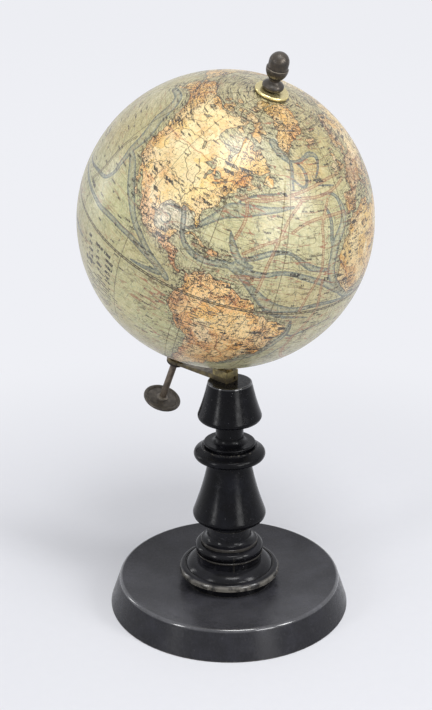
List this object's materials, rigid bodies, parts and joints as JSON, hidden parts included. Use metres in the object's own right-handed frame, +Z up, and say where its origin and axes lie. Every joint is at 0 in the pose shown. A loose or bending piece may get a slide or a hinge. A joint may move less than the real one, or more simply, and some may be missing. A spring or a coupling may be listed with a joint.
{
  "type": "terrestrial globe",
  "caption": "Small tilted terrestrial globe with acorn finial, on a brass arm over a turned black wooden column and dished round base; it spins on its axle.",
  "frame": {"origin": "centre of the base's underside, on the column's axis", "axes": "+Z up along the column, +X towards the side that the globe's north end leans to"},
  "size_m": [0.16, 0.16, 0.3269],
  "materials": {
    "base_wood": "ebonised, satin, dusty and hazed on top",
    "column_wood": "ebonised and polished, worn edges",
    "screw_iron": "dull",
    "arm_brass": "olive, aged and unpolished",
    "arm_screw_brass": "aged",
    "dark_iron": "dark and oxidised",
    "rod_iron": "brown with rust",
    "dark_bronze": "dark patina, worn at the edges",
    "sleeve_brass": "aged",
    "ring_brass": "bright, polished",
    "bush_brass": "plain",
    "strut_wood": "raw turned wood",
    "papier_mache": "rough",
    "band_paper": "pasted",
    "plaster": "smooth white plaster",
    "map_paper": "printed, hand-coloured and varnished"
  },
  "bodies": {
    "stand": {"base_plinth": "base_wood", "base_screws": "screw_iron", "column_foot": "column_wood", "column_shaft": "column_wood", "arm": "arm_brass", "arm_block": "arm_brass", "arm_screws": "arm_screw_brass", "arm_bush": "dark_iron"},
    "axle": {"axle_rod": "rod_iron", "knob_disc": "dark_bronze", "spacer_sleeve": "sleeve_brass", "south_washer": "ring_brass", "north_washer": "ring_brass", "finial": "dark_bronze"},
    "globe": {"center_strut": "strut_wood", "north_bush": "bush_brass", "south_bush": "bush_brass", "pole_tacks": "screw_iron", "shell_north": "papier_mache", "shell_south": "papier_mache", "joint_strip": "band_paper", "plaster_coat": "plaster", "paper_gores": "map_paper", "polar_cap_north": "map_paper", "polar_cap_south": "map_paper"}
  },
  "joints": [
    {"name": "axle_spin", "type": "hinge", "parent": "stand", "child": "axle", "pos_m": [-0.04308, 0, 0.14101], "axis": [0.3987, 0, 0.9171], "continuous": true},
    {"name": "globe_spin", "type": "hinge", "parent": "axle", "child": "globe", "pos_m": [-0.0036, 0, 0.2318], "axis": [0.3987, 0, 0.9171], "continuous": true}
  ]
}
